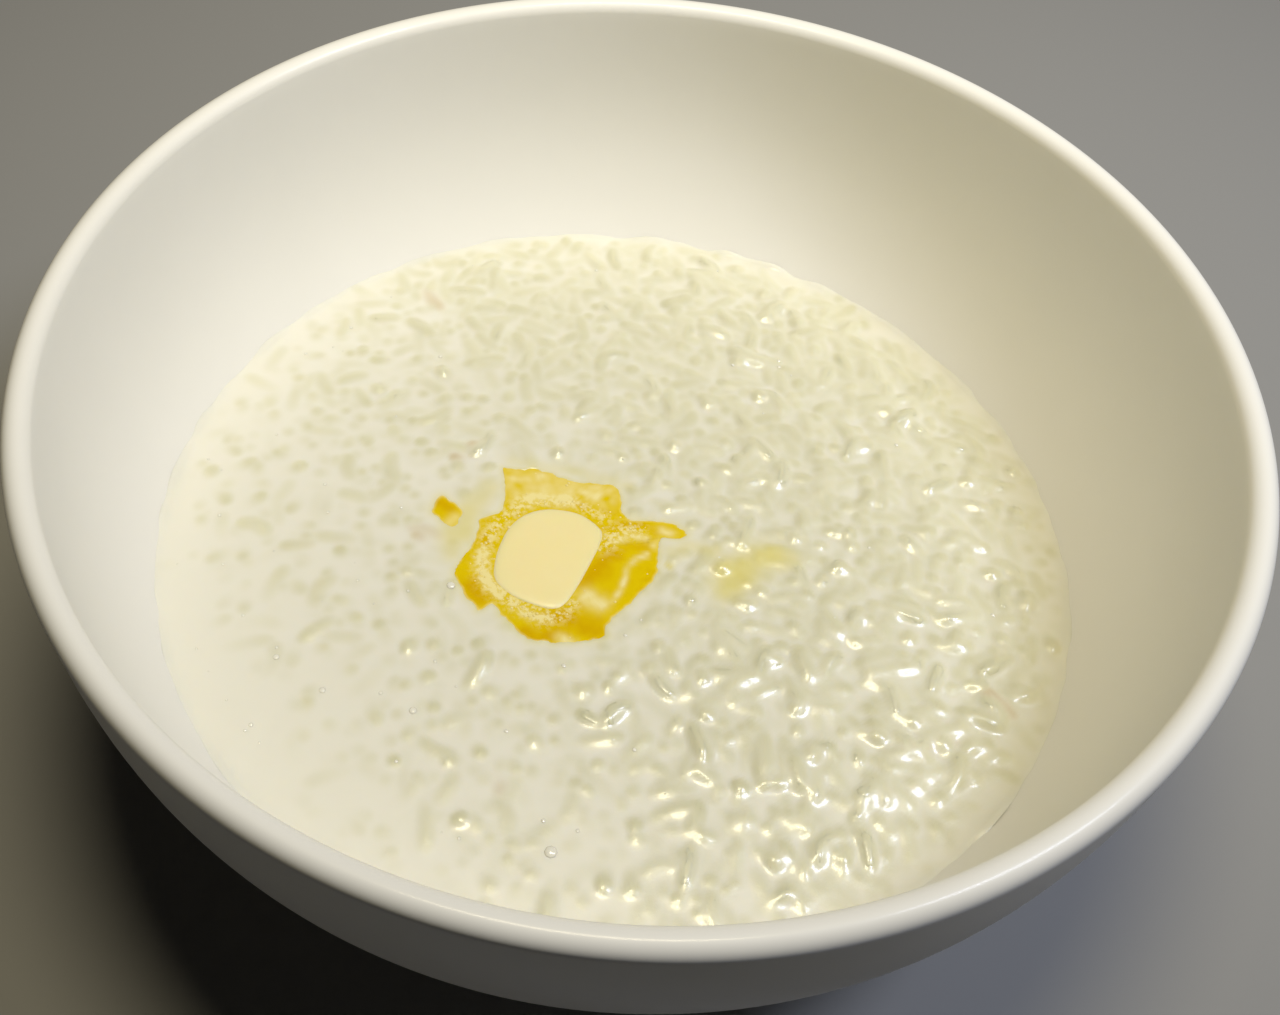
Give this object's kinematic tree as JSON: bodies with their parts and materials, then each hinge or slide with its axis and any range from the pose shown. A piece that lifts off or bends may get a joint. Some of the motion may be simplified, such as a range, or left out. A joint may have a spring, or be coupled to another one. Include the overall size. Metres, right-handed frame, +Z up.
{
  "type": "rice pudding in a bowl",
  "caption": "Milk rice pudding with a melting pat of butter, in a deep white bowl with a rounded lip and a foot ring.",
  "frame": {"origin": "centre of the bowl's foot ring, on the table", "axes": "+Z up out of the bowl; the near side of the bowl in the picture faces -Y and its right side +X"},
  "size_m": [0.17, 0.17, 0.0719],
  "materials": {
    "white_glaze": "gloss",
    "milk_rice": "satin",
    "butter": "satin",
    "melted_butter": "gloss"
  },
  "bodies": {
    "root": {"bowl": "white_glaze", "pudding": "milk_rice", "butter_pat": "butter", "melted_butter": "melted_butter"}
  },
  "joints": []
}
